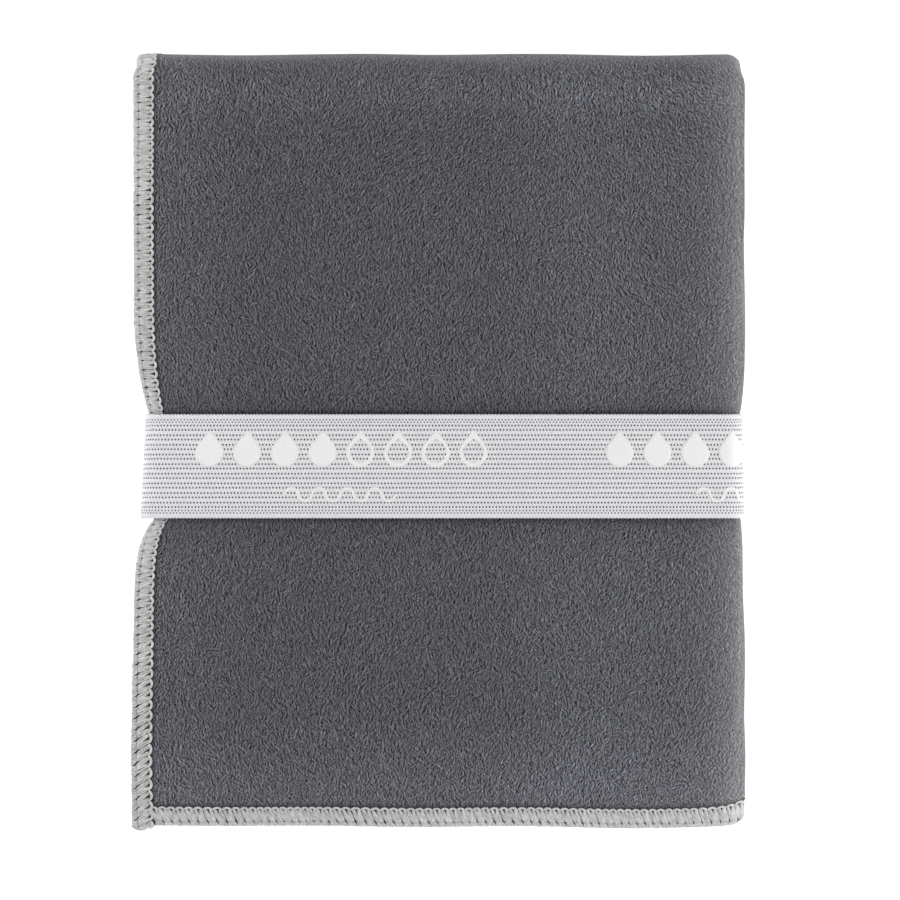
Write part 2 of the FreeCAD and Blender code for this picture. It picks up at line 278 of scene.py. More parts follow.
def towel_point(u, v, out):
    """Flat towel to relaxed pack, as rows of x, y, z."""
    u, v, out = np.broadcast_arrays(u, v, out)
    free = np.isin(ALONG.leg(v), FREE_LEGS).astype(float)
    x, y, z = fold(u, v, out)
    return np.stack(settle(x, y, z, free), -1)


# -------- meshes
def mesh_piece(name, points, faces, material, uv=None, period=0):
    """Smooth-shaded mesh object from points and faces of three or four corners, with an optional UV map.

    period is the length after which the first UV coordinate comes round again on a closed strip.
    """
    faces = [np.asarray(f, np.int64) for f in faces if len(f)]
    mesh = bpy.data.meshes.new(name)
    mesh.vertices.add(len(points))
    mesh.vertices.foreach_set("co", np.asarray(points, np.float32).ravel())
    corners = np.concatenate([f.ravel() for f in faces])
    sizes = np.concatenate([np.full(len(f), f.shape[1]) for f in faces])
    mesh.loops.add(len(corners))
    mesh.loops.foreach_set("vertex_index", corners.astype(np.int32))
    mesh.polygons.add(len(sizes))
    mesh.polygons.foreach_set("loop_start", (np.cumsum(sizes) - sizes).astype(np.int32))
    mesh.polygons.foreach_set("loop_total", sizes.astype(np.int32))
    mesh.update(calc_edges=True)
    mesh.validate()
    mesh.polygons.foreach_set("use_smooth", np.ones(len(mesh.polygons), bool))
    if uv is not None:
        layer = mesh.uv_layers.new(name="flat")
        uv = np.asarray(uv, float)[corners]
        if period:
            first = np.repeat(np.maximum.reduceat(uv[:, 0], np.cumsum(sizes) - sizes), sizes)
            uv[:, 0] += period * (first - uv[:, 0] > period / 2)
        layer.data.foreach_set("uv", uv.astype(np.float32).ravel())
    piece = bpy.data.objects.new(name, mesh)
    bpy.context.scene.collection.objects.link(piece)
    mesh.materials.append(material)
    return piece


def grid_faces(rows, columns, start=0, flip=False, closed=False, looped=False):
    """Quads of a grid of points stored row by row.

    closed joins the last column to the first, and looped the last row to the first.
    """
    index = np.arange(rows * columns).reshape(rows, columns) + start
    if looped:
        index = np.concatenate([index, index[:1]])
    if closed:
        index = np.concatenate([index, index[:, :1]], 1)
    quads = np.stack([index[:-1, :-1], index[:-1, 1:], index[1:, 1:], index[1:, :-1]], -1).reshape(-1, 4)
    return quads[:, ::-1] if flip else quads


def rim_faces(rows, columns, start=0):
    """Quads that join the rims of two such grids, stored one after the other."""
    count = rows * columns
    index = np.arange(count).reshape(rows, columns)
    rim = np.concatenate([index[0], index[1:, -1], index[-1, -2::-1], index[-2:0:-1, 0]])
    after = np.roll(rim, -1)
    return np.stack([rim, rim + count, after + count, after], -1) + start


def stations(*stretches):
    """Lengths along a route: each stretch is (start, end, step), and its end is the next one's start."""
    parts = [np.linspace(a, b, max(int(math.ceil((b - a) / step)), 1) + 1)[:-1] for a, b, step in stretches]
    return np.concatenate(parts + [[stretches[-1][1]]])


# -------- cloth
MARGIN = END_WIDER * HEM + 2.4 * MM  # cloth pressed thin by the edge threads, and the slope up from it
MARGIN_HALF = 0.16 * MM  # half the cloth's thickness there
SLOPE = 0.8 * MM  # width of that slope
# spacing of the cloth's points, by place
FINE, COARSE, BEND, CLOSE, HEM_STEP, HIDDEN_HEM_STEP = [d * MM for d in (2.2, 5, 0.6, 0.7, 0.5, 1.1)]
FOLD_STEP, TIGHT_FOLD_STEP, LEAF_STEP = 1.6 * MM, 1 * MM, 4.5 * MM
TIGHT_FOLDS = (5, 7)  # legs of ALONG with the smallest radius
BESIDE_BAND = 6 * MM


def cloth_half(u, v):
    """Half the cloth's thickness, pressed thin under the edge threads."""
    edge = np.minimum(np.minimum(u, WIDTH - u), np.minimum(v, LENGTH - v) / END_WIDER)
    past = edge - HEM - 0.6 * MM
    puff = 0.2 * MM * np.exp(-((past - 1.2 * MM) / SLOPE) ** 2)
    return MARGIN_HALF + (CLOTH_T / 2 - MARGIN_HALF) * smooth(past / SLOPE) + puff


def across_stations(step):
    """Stations over the four layers, finer at the edges and round the folds."""
    starts = ACROSS.starts + [WIDTH]
    stretches = [(0, MARGIN, HEM_STEP), (MARGIN, starts[1], step)]
    for k in range(1, len(starts) - 2):
        stretches.append((starts[k], starts[k + 1], BEND if k % 2 else COARSE))
    stretches += [(starts[-2], WIDTH - MARGIN, COARSE), (WIDTH - MARGIN, WIDTH, HIDDEN_HEM_STEP)]
    return stations(*stretches)


def sheet_mesh(name, u, v, material):
    """Closed cloth between two faces, over a grid of stations."""
    uu, vv = np.meshgrid(u, v)
    half = cloth_half(uu, vv)
    rows, columns = uu.shape
    points = [towel_point(uu, vv, side * half).reshape(-1, 3) for side in (1, -1)]
    faces = [grid_faces(rows, columns), grid_faces(rows, columns, rows * columns, flip=True),
             rim_faces(rows, columns)]
    flat = np.stack([uu.ravel(), vv.ravel()], -1)
    return mesh_piece(name, np.concatenate(points), faces, material, np.concatenate([flat, flat + [1, 0]]))


SPLIT_V = ALONG.starts[2] + FOLD_BACK - BAND_Y  # the two cloth meshes meet under the band


def along_stations(first, last):
    """Stations from one length along the towel to another."""
    marks = sorted({first, last, *[s for s in ALONG.starts if first < s < last]})
    stretches = []
    for a, b in zip(marks, marks[1:]):
        leg = int(ALONG.leg(np.array((a + b) / 2)))
        if leg == 0:
            under = BAND_Y - BAND_HALF - FRONT
            past = under + 2 * BAND_HALF
            stretches += [(0, MARGIN, HEM_STEP), (MARGIN, under - BESIDE_BAND, FINE),
                          (under - BESIDE_BAND, under, CLOSE), (under, past, FINE),
                          (past, past + BESIDE_BAND, CLOSE), (past + BESIDE_BAND, b, FINE)]
            continue
        step = LEAF_STEP
        if leg % 2:
            step = TIGHT_FOLD_STEP if leg in TIGHT_FOLDS else FOLD_STEP
        end = b - MARGIN if b == LENGTH else b
        stretches.append((a, end, step))
        if b == LENGTH:
            stretches.append((end, LENGTH, HIDDEN_HEM_STEP))
    return stations(*stretches)


# -------- edge threads
STITCH = 2.42 * MM
SIDES = 6  # corners of a thread's outline; its end caps are cut for six
STRANDS = 4  # looper strands in one stitch
STRAND_HALF = (0.38 * MM, 0.16 * MM)  # half the width and half the thickness of a looper strand
NEEDLE_HALF = (0.37 * MM, 0.24 * MM)  # and of the needle thread
LOOPER_OUT = 0.33 * MM  # middle of the looper strands above the middle of the cloth
EDGE_OUT = 0.3 * MM  # how far the wrap stands past the raw edge
OVERRUN = 1.7 * MM  # the side edges' threads run on past the corners
CORNER_PULL = 0.45  # how much longer the side stitches are near the first corner
FOLD_PULL = 0.3  # how much shorter the end stitches are at the first fold
END_TIGHT = 0.06  # gathering of the end stitches' strands
SIDE_SLANT, CORNER_SLANT, END_SLANT = 0.3 * MM, 3.3 * MM, -1.9 * MM  # how far the strands lean

# edge: (place of (s, e) on the flat towel, whether that mirrors it)
EDGES = {
    "first_side": (lambda s, e: (e, s), True),
    "second_side": (lambda s, e: (WIDTH - e, s), False),
    "top_end": (lambda s, e: (s, e), False),
    "second_end": (lambda s, e: (s, LENGTH - e), True),
}


def stitch_places(start, end, seed, corner_pull, fold_pull):
    """Starts and widths of the stitches along an edge, unevenly fed.

    They are drawn out near the first corner, or crowded at the first fold.
    """
    count = max(int((end - start) / STITCH), 2)
    s = start + np.arange(count) * STITCH
    step = 1 + 0.16 * ripple(s, 0, 31 * MM, seed) + corner_pull * (1 - smooth((s - 22 * MM) / (40 * MM)))
    step = step - fold_pull * np.exp(-((s - FIRST_FOLD) / (11 * MM)) ** 2)
    step = step / step.sum() * (end - start)
    return start + np.cumsum(step) - step, step


def thread_tubes(lines, wide, half_w, half_t):
    """Closed threads of oval section along lines, as points, faces and UVs. wide is their broad direction."""
    count, rings, _ = lines.shape
    tangent = np.gradient(lines, axis=1)
    tangent /= np.linalg.norm(tangent, axis=2, keepdims=True)
    wide = wide - (wide * tangent).sum(2, keepdims=True) * tangent
    wide /= np.linalg.norm(wide, axis=2, keepdims=True)
    thin = np.cross(tangent, wide)
    turn = 2 * math.pi * np.arange(SIDES) / SIDES
    end_taper = np.ones(rings)
    end_taper[[0, -1]] = 0.55
    ring = half_w * np.cos(turn)[:, None] * wide[:, :, None]
    ring = ring + half_t * np.sin(turn)[:, None] * thin[:, :, None]
    points = lines[:, :, None] + ring * end_taper[None, :, None, None]
    index = np.arange(count * rings * SIDES).reshape(count, rings, SIDES)
    index = np.concatenate([index, index[:, :, :1]], 2)
    quads = np.stack([index[:, :-1, :-1], index[:, 1:, :-1], index[:, 1:, 1:], index[:, :-1, 1:]], -1)
    first, last = index[:, 0], index[:, -1]
    caps = [first[:, [0, 1, 2, 3]], first[:, [0, 3, 4, 5]], last[:, [3, 2, 1, 0]], last[:, [5, 4, 3, 0]]]
    length = np.linalg.norm(np.diff(lines, axis=1), axis=2).cumsum(1)
    length = np.concatenate([np.zeros((count, 1)), length], 1)
    uv_along = np.repeat(length[:, :, None], SIDES, 2)
    uv_round = np.broadcast_to(np.arange(count)[:, None, None] * 0.37 + turn * half_w, uv_along.shape)
    uv = np.stack([uv_along.ravel(), uv_round.ravel()], -1)
    return points.reshape(-1, 3), np.concatenate([quads.reshape(-1, 4), *caps]), uv


def thread_mesh(name, edge, lines, wide, half_w, half_t, material):
    """Threads of an edge. lines holds each one's (s, e, out) points."""
    place, mirrored = EDGES[edge]
    points, faces, uv = thread_tubes(lines, wide, half_w, half_t)
    s, e, out = points.T
    u, v = place(s, e)
    if mirrored:
        faces = faces[:, ::-1]
    return mesh_piece(name, towel_point(u, v, out), [faces], material, uv)


def looper_lines(profile, hem, start, step, slant, tight, rng):
    """Strands of one looper over every stitch. profile lists each strand's (e, out) points.

    tight is how far the strands of a stitch are drawn together, as a share of it. They gather again where
    the two loopers meet, part at the needle line, and thin out where they run past a corner.
    """
    per_stitch = (len(start), 1)
    lines = np.empty((len(start), STRANDS, len(profile), 3))
    e, out = np.array(profile).T
    depth = np.clip(e / hem, 0, 1)
    for k in range(STRANDS):
        middle = (k + 0.5) / STRANDS
        apart = 0.12 * (1 if k >= STRANDS / 2 else -1) * smooth((depth - 0.6) / 0.4)
        if k in (0, STRANDS - 1):
            apart = -0.5 * apart
        jitter = rng.normal(0, 0.015, per_stitch)
        gather = (0.5 - middle) * (tight + 0.27 * np.exp(-((depth - 0.25) / 0.13) ** 2))
        place = start[:, None] + step[:, None] * (middle + apart + gather + jitter)
        round_end = OVERRUN * (1 - np.abs(2 * depth - 0.9) ** 3)
        place = place - slant[:, None] * (1 - depth)
        lowest, highest = 0.12 * place - round_end, LENGTH + round_end - 0.12 * (LENGTH - place)
        s = np.clip(place, lowest, highest)
        lines[:, k, :, 0] = s
        lines[:, k, :, 1] = e + rng.normal(0, 0.05 * MM, per_stitch)
        swell = np.sin(math.pi * np.clip(depth * 1.25 - 0.25, 0, 1)) ** 0.5
        plump = 0.16 * MM * (1 - 2.6 * (2 * middle - 1) ** 2) * swell
        past = np.clip(np.maximum(-s, s - LENGTH) / OVERRUN, 0, 1)
        lines[:, k, :, 2] = (out + np.sign(out) * plump) * np.sqrt(1 - 0.85 * past ** 2)
        lines[:, k, :, 2] += rng.normal(0, 0.03 * MM, per_stitch)
    return lines.reshape(-1, len(profile), 3)


def upper_profile(hem):
    """Upper looper: flat over the outer face, then down to where it meets the other looper."""
    top = LOOPER_OUT
    return [(1.03 * hem, 0.55 * top), (0.93 * hem, top), (0.6 * hem, 1.08 * top), (0.38 * hem, 1.05 * top),
            (0.28 * hem, 0.9 * top), (0.23 * hem, 0.35 * top)]


def lower_profile(hem):
    """Lower looper: from the outer face round the raw edge, then flat under the inner face."""
    top = LOOPER_OUT
    return [(0.27 * hem, 0.5 * top), (0.14 * hem, 0.85 * top), (0, 0.75 * top), (-EDGE_OUT, 0.05 * top),
            (0, -0.8 * top), (0.2 * hem, -1.05 * top), (0.6 * hem, -1.05 * top), (hem, -0.6 * top)]


def needle_lines(hem, start, step, side):
    """Needle thread: scallops on the outer face, short straight stitches on the inner one."""
    t = np.linspace(0, 1, 7)
    lines = np.empty((len(start), len(t), 3))
    lines[..., 0] = start[:, None] + step[:, None] * t
    if side > 0:
        lines[..., 1] = hem + (0.78 * np.sin(math.pi * t) ** 0.8 - 0.22) * MM
        lines[..., 2] = (0.33 + 0.24 * np.sin(math.pi * t) ** 0.5) * MM
    else:
        lines[..., 1] = hem + 0.05 * MM
        lines[..., 2] = -(0.3 + 0.2 * np.sin(math.pi * t) ** 0.5) * MM
    return lines


def edge_threads(edge, free, start, end, seed, materials):
    """The three threads of one stretch of overlocked edge, each in place of its CAD node."""
    rng = np.random.default_rng(seed)
    is_side = edge.endswith("side")
    s, step = stitch_places(start, end, seed, *((CORNER_PULL, 0) if is_side else (0, FOLD_PULL)))
    slant = 0.25 * MM * ripple(s, 0, 60 * MM, seed + 3)
    slant = slant + (SIDE_SLANT + CORNER_SLANT * np.exp(-(s / (62 * MM)) ** 2) if is_side else END_SLANT)
    hem = HEM if is_side else END_WIDER * HEM
    pieces = []

    def add(thread, lines, wide, half, material):
        """One thread of the edge, in place of its CAD node."""
        piece = thread_mesh(f"{edge}_{thread}{free}_strands", edge, lines, wide, *half, material)
        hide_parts(f"{edge}_hem_{thread}{free}")
        pieces.append(piece)

    for thread, profile in (("upper_looper", upper_profile(hem)), ("lower_looper", lower_profile(hem))):
        lines = looper_lines(profile, hem, s, step, slant, 0 if is_side else END_TIGHT, rng)
        add(thread, lines, np.broadcast_to([1.0, 0, 0], lines.shape), STRAND_HALF, materials["looper"])
    lines = np.concatenate([needle_lines(hem, s, step, side) for side in (1, -1)])
    wide = np.cross([0, 0, 1.0], np.gradient(lines, axis=1))
    add("needle_thread", lines, wide, NEEDLE_HALF, materials["needle"])
    return pieces


# -------- band
HOLE_PITCH = 0.96 * MM
ROW_PAIR = 2.78 * MM  # from one pair of hole rows to the next
ROW_GAP = 1.26 * MM  # between the two rows of a pair
PAIRS = 9
EDGE_ROWS = (12.75 * MM, 13.45 * MM)  # the fine rows beside each selvedge, from the middle
PIT = 0.34 * MM  # depth of the pit at a hole
SELVEDGE = 0.35 * MM
SELVEDGE_DROP = 0.28 * MM  # how far the selvedge's rim turns down
NOTCH = 0.15 * MM
RIDGE = 0.04 * MM  # rise of the rows between the holes
SPARSE = 1.4 * MM  # rows of holes further apart than this have two rows between
BAND_LAP = 12 * MM  # length of the lap under the seam
LAP_RISE = 0.16 * MM


class Band:
    """The band's surface, by the distance s round it from the top left and t across it from its middle."""

    def __init__(self):
        self.corner = BAND_CORNER + BAND_T
        self.width = band_side(1, BAND_Y) - band_side(-1, BAND_Y)
        height = BAND_TOP_IN + BAND_T - BAND_FLOOR
        run, drop, bend = self.width - 2 * self.corner, height - 2 * self.corner, self.corner * math.pi / 2
        self.route = Route((0, 0), [(run, 0), (bend, -math.pi / 2), (drop, 0), (bend, -math.pi / 2),
                                    (run, 0), (bend, -math.pi / 2), (drop, 0), (bend, -math.pi / 2)])
        self.length = self.route.length
        self.top_run = run

    def at(self, s, t, out):
        """Points on the band, out above its outer face."""
        s, t, out = np.broadcast_arrays(s, t, out)
        point, heading = self.route.at(np.mod(s, self.length))
        x = point[..., 0] - out * np.sin(heading)
        z = point[..., 1] + out * np.cos(heading)
        share = (x + self.corner) / self.width
        y = BAND_Y + t
        left, right = band_side(-1, y), band_side(1, y)
        x = left + share * (right - left)
        level = BAND_TOP_IN + BAND_T + z
        on_top = smooth((level - BAND_TOP_IN / 2) / (8 * MM))
        crown = BAND_CROWN * np.clip(1 - (x / RIGHT) ** 2, 0, 1) * on_top
        return np.stack([x, y, level + crown], -1)


BAND = Band()
BAND_SEAM = BAND.route.starts[4] + BAND.top_run / 2  # middle of the lap, on the underside


def hole_rows():
    """Rows of holes, as their place across the band and their stagger."""
    rows = []
    for k in range(PAIRS):
        middle = (k - (PAIRS - 1) / 2) * ROW_PAIR
        rows += [(middle - ROW_GAP / 2, 0), (middle + ROW_GAP / 2, 1)]
    for side in (-1, 1):
        rows += [(side * EDGE_ROWS[0], 0), (side * EDGE_ROWS[1], 1)]
    return sorted(rows)


def band_mesh(material):
    """Woven loop with a pit at every hole and notched selvedges."""
    cells = int(round(BAND.length / HOLE_PITCH))
    columns = 2 * cells
    s = np.arange(columns) * BAND.length / columns
    across, pits = [], []
    rows = hole_rows()
    for (a, stagger), (b, _) in zip(rows, rows[1:] + [(BAND_HALF - SELVEDGE, 0)]):
        between = 2 if b - a > SPARSE else 1
        across += [a] + [a + (b - a) * (i + 1) / (between + 1) for i in range(between)]
        pits += [stagger] + [None] * between
    across = [-BAND_HALF, -BAND_HALF + SELVEDGE] + across + [BAND_HALF - SELVEDGE, BAND_HALF]
    pits = [None, None] + pits + [None, None]
    t, out = np.meshgrid(across, s, indexing="ij")[0].copy(), np.zeros((len(across), columns))
    for row, stagger in enumerate(pits):
        if stagger is None:
            out[row] += RIDGE
        else:
            out[row, stagger::2] -= PIT * (0.5 if abs(across[row]) > EDGE_ROWS[0] - 0.1 * MM else 1)
    notch = NOTCH * np.where(np.arange(columns) % 2, 1, -1)
    t[0] -= notch
    t[-1] += notch
    out[[0, -1]] -= SELVEDGE_DROP
    lap = smooth((BAND_LAP / 2 - np.abs(s - BAND_SEAM)) / (0.4 * MM) + 0.5)
    out += LAP_RISE * lap
    outer = BAND.at(s, t, out)
    inner_t = np.linspace(BAND_HALF - 0.1 * MM, -BAND_HALF + 0.1 * MM, 5)[:, None] + np.zeros(columns)
    inner = BAND.at(s, inner_t, -BAND_T)
    points = np.concatenate([outer, inner])
    faces = grid_faces(len(points), columns, flip=True, closed=True, looped=True)
    flat = np.stack(np.broadcast_arrays(s / (BAND.length / cells), np.concatenate([t, inner_t]) / MM), -1)
    return mesh_piece("elastic_band", points.reshape(-1, 3), [faces], material, flat.reshape(-1, 2), cells)


SEAM_ROW = 4 * MM  # from the lap's middle to each zigzag row
SEAM_HALF_W, SEAM_PITCH = 0.9 * MM, 1.3 * MM
SEAM_THREAD = (0.2 * MM, 0.09 * MM)  # half its width and half its thickness
FILM = 0.05 * MM  # thickness of the print
MOTIF_LEFT = np.array([-72.0, 46.5]) * MM  # x at which each run of the motif starts
DROPS = 4  # solid drops in a run, and outlined ones
DROP_PITCH, DROP_W, DROP_H = 10.9 * MM, 8.2 * MM, 10.8 * MM
DROP_POINTS = 40  # round the base of a drop
RING_STROKE = 1.1 * MM
DROP_T, WAVE_T = 5.2 * MM, -8.2 * MM  # places of the drops and the wave across the band
WAVE_START, WAVE_BENDS, WAVE_R, WAVE_STROKE = 27.5 * MM, 8, 2 * MM, 0.9 * MM


def seam_mesh(material):
    """Two zigzag rows through the lap, on the band's outer face."""
    reach = BAND_HALF - 2 * MM
    turn = np.linspace(-reach, reach, int(2 * reach / SEAM_PITCH) * 6 + 1)
    swing = SEAM_HALF_W * 2 / math.pi * np.arcsin(np.sin(2 * math.pi * turn / SEAM_PITCH) * 0.98)
    lines = np.stack([np.stack([BAND_SEAM + side * SEAM_ROW + swing, turn, np.full_like(turn, 0.2 * MM)], -1)
                      for side in (-1, 1)])
    wide = np.cross(np.array([0, 0, 1.0]), np.gradient(lines, axis=1))
    points, faces, uv = thread_tubes(lines, wide, *SEAM_THREAD)
    return mesh_piece("band_seam_stitches", BAND.at(*points.T), [faces], material, uv)


def drop_outline(width, height):
    """Outline of a water drop about its middle: round base, straight flanks, pointed tip."""
    radius = width / 2
    centre = -height / 2 + radius
    hair_flank_light_shade = math.acos(radius / (height - radius))
    base = np.linspace(math.pi / 2 - hair_flank_light_shade, -1.5 * math.pi + hair_flank_light_shade, DROP_POINTS)
    ring = np.stack([radius * np.cos(base), centre + radius * np.sin(base)], -1)
    flank = np.linspace(0, 1, 9)[1:, None]
    tip = np.array([0, height / 2])
    up = ring[-1] + (tip - ring[-1]) * flank
    down = tip + (ring[0] - tip) * flank[:-1]
    return np.concatenate([ring, up, down])


def motif_start(left):
    """Distance round the band of the x at which a run of the motif starts."""
    return left - band_side(-1, BAND_Y) - BAND.corner


def film(strips):
    """Closed thin films on the band, as points and faces.

    Each strip is an array (rings, points, 2) of nested outlines in (s, t), and whether its middle is filled.
    """
    points, faces, start = [], [], 0
    for rings, filled in strips:
        count, size, _ = rings.shape
        for out in (FILM, 0):
            points.append(BAND.at(rings[..., 0], rings[..., 1], out).reshape(-1, 3))
        n = count * size
        faces.append(grid_faces(count, size, start, flip=True, closed=True))
        faces.append(grid_faces(count, size, start + n, closed=True))
        edges = [(count - 1) * size] if filled else [0, (count - 1) * size]
        for k, edge in enumerate(edges):
            index = np.arange(size) + start + edge
            after = np.roll(index, -1)
            wall = np.stack([index, after, after + n, index + n], -1)
            faces.append(wall if k == 0 and not filled else wall[:, ::-1])
        start += 2 * n
    return np.concatenate(points), faces


def motif_strips(left):
    """The drops of one run: solid ones, then outlined ones."""
    start = motif_start(left)
    outline = drop_outline(DROP_W, DROP_H)
    hole = drop_outline(DROP_W - 2 * RING_STROKE, DROP_H - 3.6 * RING_STROKE)
    hole = hole - [0, 0.7 * RING_STROKE]
    strips = []
    for i in range(2 * DROPS):
        middle = np.array([start + (i + 0.5) * DROP_PITCH, DROP_T])
        shares = np.linspace(0.02, 1, 6)[:, None, None]
        if i < DROPS:
            core = np.array([0, -DROP_H / 2 + DROP_W / 2])
            strips.append((middle + core + (outline - core) * shares, True))
        else:
            strips.append((middle + hole + (outline - hole) * shares, False))
    return strips


def wave_film(left, start):
    """The wave line of one run, as a closed film whose faces are numbered from start."""
    turn = np.linspace(0, WAVE_BENDS * math.pi, WAVE_BENDS * 12 + 1)
    s = motif_start(left) + WAVE_START + WAVE_R * (turn - 0.55 * np.sin(2 * turn) / 2) * 2 / math.pi
    line = np.stack([s, WAVE_T + WAVE_R * 0.9 * np.sin(turn)], -1)
    tangent = np.gradient(line, axis=0)
    normal = np.stack([-tangent[:, 1], tangent[:, 0]], -1)
    normal /= np.linalg.norm(normal, axis=1, keepdims=True)
    half = normal * WAVE_STROKE / 2
    flat = np.stack([line - half, line, line + half])
    columns = len(line)
    points = [BAND.at(flat[..., 0], flat[..., 1], out).reshape(-1, 3) for out in (FILM, 0)]
    faces = [grid_faces(3, columns, start), grid_faces(3, columns, start + 3 * columns, flip=True),
             rim_faces(3, columns, start)]
    return np.concatenate(points), faces


def print_mesh(material):
    """Every run of the motif, as one film."""
    points, faces = film([strip for left in MOTIF_LEFT for strip in motif_strips(left)])
    for left in MOTIF_LEFT:
        more, more_faces = wave_film(left, len(points))
        points, faces = np.concatenate([points, more]), faces + more_faces
    return mesh_piece("band_motif", points, faces, material)


# -------- materials
def srgb(*values):
    """Linear colour from 0-255 screen values."""
    parts = [v / 255 for v in values]
    return tuple(p / 12.92 if p <= 0.04045 else ((p + 0.055) / 1.055) ** 2.4 for p in parts) + (1,)


class Nodes:
    """Small helper for building a material's node tree."""

    def __init__(self, name):
        self.material = bpy.data.materials.new(name)
        self.material.use_nodes = True
        self.tree = self.material.node_tree
        self.shader = self.tree.nodes["Principled BSDF"]

    def add(self, kind, inputs=(), **settings):
        node = self.tree.nodes.new(kind)
        for key, value in settings.items():
            setattr(node, key, value)
        for key, value in dict(inputs).items():
            self.plug(value, node.inputs[key])
        return node

    def plug(self, value, socket):
        if isinstance(value, bpy.types.NodeSocket):
            self.tree.links.new(value, socket)
        else:
            socket.default_value = value

    def uv(self):
        return self.add("ShaderNodeUVMap", uv_map="flat").outputs["UV"]

    def math(self, operation, a, b=0.0, c=0.0):
        return self.add("ShaderNodeMath", {0: a, 1: b, 2: c}, operation=operation).outputs[0]

    def times(self, a, b):
        return self.math("MULTIPLY", a, b)

    def minus(self, a, b):
        return self.math("SUBTRACT", a, b)

    def spread(self, value, low_in, high_in, low_out=0.0, high_out=1.0):
        inputs = {0: value, 1: low_in, 2: high_in, 3: low_out, 4: high_out}
        return self.add("ShaderNodeMapRange", inputs).outputs[0]

    def mix(self, share, a, b):
        return self.add("ShaderNodeMix", {0: share, 6: a, 7: b}, data_type="RGBA").outputs[2]

    def turned(self, vector, angle, scale):
        inputs = {"Vector": vector, "Rotation": (0, 0, angle), "Scale": scale}
        return self.add("ShaderNodeMapping", inputs).outputs[0]

    def noise(self, vector, scale, detail=2.0, roughness=0.5, distortion=0.0):
        inputs = {"Vector": vector, "Scale": scale, "Detail": detail, "Roughness": roughness,
                  "Distortion": distortion}
        return self.add("ShaderNodeTexNoise", inputs).outputs["Fac"]

    def bump(self, height, distance, strength=1.0):
        node = self.add("ShaderNodeBump", {"Height": height, "Distance": distance, "Strength": strength})
        self.plug(node.outputs[0], self.shader.inputs["Normal"])

    def finish(self, **values):
        for key, value in values.items():
            self.plug(value, self.shader.inputs[key.replace("_", " ")])
        return self.material


# layers of hairs, each as (width of a patch combed one way, hair length, hair width) in mm; the last strays
NAP_LAYERS = ((2.6, 1.2, 0.42), (3.6, 1.4, 0.46), (2.0, 1.0, 0.38), (3.4, 1.5, 0.4))
HAIR_BEND = 260  # metres that the most bent hair strays aside, for its metres along squared
FLANK = 0.9  # from a hair's painted lit flank to its painted shaded one, in hair widths


def nap_relief(n, flat):
    """Short hairs with a painted lit flank and a painted shaded flank, in patches combed in drifting
    directions, over a fine grain.
    """
    hair_flank_light_shade = 0.0
    for k, (patch, length, width) in enumerate(NAP_LAYERS):
        shifted = n.add("ShaderNodeVectorMath", {0: flat, 1: (0.37 * k, 0.21 * k, 0)}).outputs[0]
        inputs = {"Vector": shifted, "Scale": 1 / (patch * MM)}
        cells = n.add("ShaderNodeTexVoronoi", inputs, voronoi_dimensions="2D")
        centre = cells.outputs["Position"]
        chance = n.add("ShaderNodeSeparateColor", {0: cells.outputs["Color"]})
        drift = n.math("MULTIPLY_ADD", n.noise(centre, 16), 3.2, -0.6)
        angle = n.math("MULTIPLY_ADD", chance.outputs[0], 1.2, drift)
        away = n.add("ShaderNodeVectorMath", {0: shifted, 1: centre}, operation="SUBTRACT").outputs[0]
        turned = n.add("ShaderNodeVectorRotate", {"Vector": away, "Angle": angle}, rotation_type="Z_AXIS")
        place = n.add("ShaderNodeSeparateXYZ", {0: turned.outputs[0]})
        bent = n.times(n.times(place.outputs[0], place.outputs[0]),
                       n.spread(chance.outputs[1], 0.0, 1.0, -HAIR_BEND, HAIR_BEND))
        along = n.math("DIVIDE", place.outputs[0], length * MM)
        aside = n.math("DIVIDE", n.math("ADD", place.outputs[1], bent), width * MM)
        deep = n.times(chance.outputs[2], 90.0)
        flanks = []
        for off in (0.0, FLANK):
            at = n.add("ShaderNodeCombineXYZ", {0: along, 1: n.math("ADD", aside, off), 2: deep})
            flanks.append(n.noise(at.outputs[0], 1.0, 1.0))
        # painted light and shade: a hair's lit flank less its shaded flank beside it
        flank_light_minus_shade = n.minus(*flanks)
        if k < len(NAP_LAYERS) - 1:
            hair_flank_light_shade = n.math("ADD", hair_flank_light_shade, flank_light_minus_shade)
    # stray hairs, with a painted highlight on their lit flank
    lit_stray_hairs = n.times(n.spread(flanks[0], 0.58, 0.72), n.spread(flank_light_minus_shade, 0.0, 0.1))
    grain = n.noise(flat, 2900, 2.0, 0.6, 0.8)
    nap = n.math("MULTIPLY_ADD", hair_flank_light_shade, 0.85, n.times(grain, 0.8))
    return n.math("MULTIPLY_ADD", lit_stray_hairs, 0.35, n.spread(nap, 0.052, 1.252, 0.0, 0.8))


